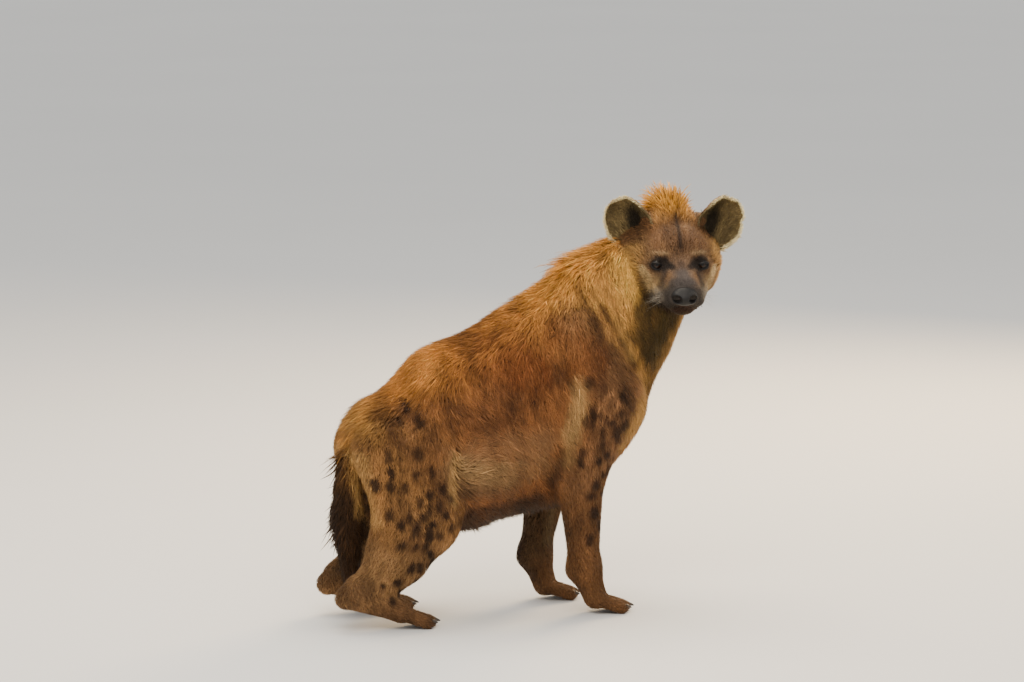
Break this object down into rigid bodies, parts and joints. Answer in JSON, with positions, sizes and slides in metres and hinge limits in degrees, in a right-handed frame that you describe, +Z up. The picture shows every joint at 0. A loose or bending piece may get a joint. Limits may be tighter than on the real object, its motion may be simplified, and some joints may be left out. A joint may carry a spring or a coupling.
{
  "type": "spotted hyena model",
  "caption": "life-size still model of an adult spotted hyena, crouched on its hind legs and looking back over its shoulder",
  "frame": {"origin": "the floor level under the middle of the bounding box", "axes": "+X to the head end, +Y to the animal's left, +Z up"},
  "size_m": [1.0208, 0.4628, 1.0195],
  "materials": {
    "coat": "coarse rufous-brown fur with dark spots",
    "head_coat": "short grey-brown fur",
    "leg_coat": "short tan fur with dark spots",
    "ear_coat": "thin olive-brown fur with a pale rim",
    "tail_coat": "long dark brown brush",
    "eye": "wet, dark and glossy",
    "nose": "moist pebbled skin",
    "claw": "dull dark horn"
  },
  "bodies": {
    "root": {"torso": "coat", "neck": "coat", "head": "head_coat", "tail": "tail_coat", "nose": "nose", "ear_right": "ear_coat", "ear_left": "ear_coat", "eye_right": "eye", "eye_left": "eye", "foreleg_right": "leg_coat", "foreleg_right_claw_1": "claw", "foreleg_right_claw_2": "claw", "foreleg_right_claw_3": "claw", "foreleg_right_claw_4": "claw", "foreleg_left": "leg_coat", "foreleg_left_claw_1": "claw", "foreleg_left_claw_2": "claw", "foreleg_left_claw_3": "claw", "foreleg_left_claw_4": "claw", "hindleg_right": "leg_coat", "hindleg_right_claw_1": "claw", "hindleg_right_claw_2": "claw", "hindleg_right_claw_3": "claw", "hindleg_right_claw_4": "claw", "hindleg_left": "leg_coat", "hindleg_left_claw_1": "claw", "hindleg_left_claw_2": "claw", "hindleg_left_claw_3": "claw", "hindleg_left_claw_4": "claw"}
  },
  "joints": []
}
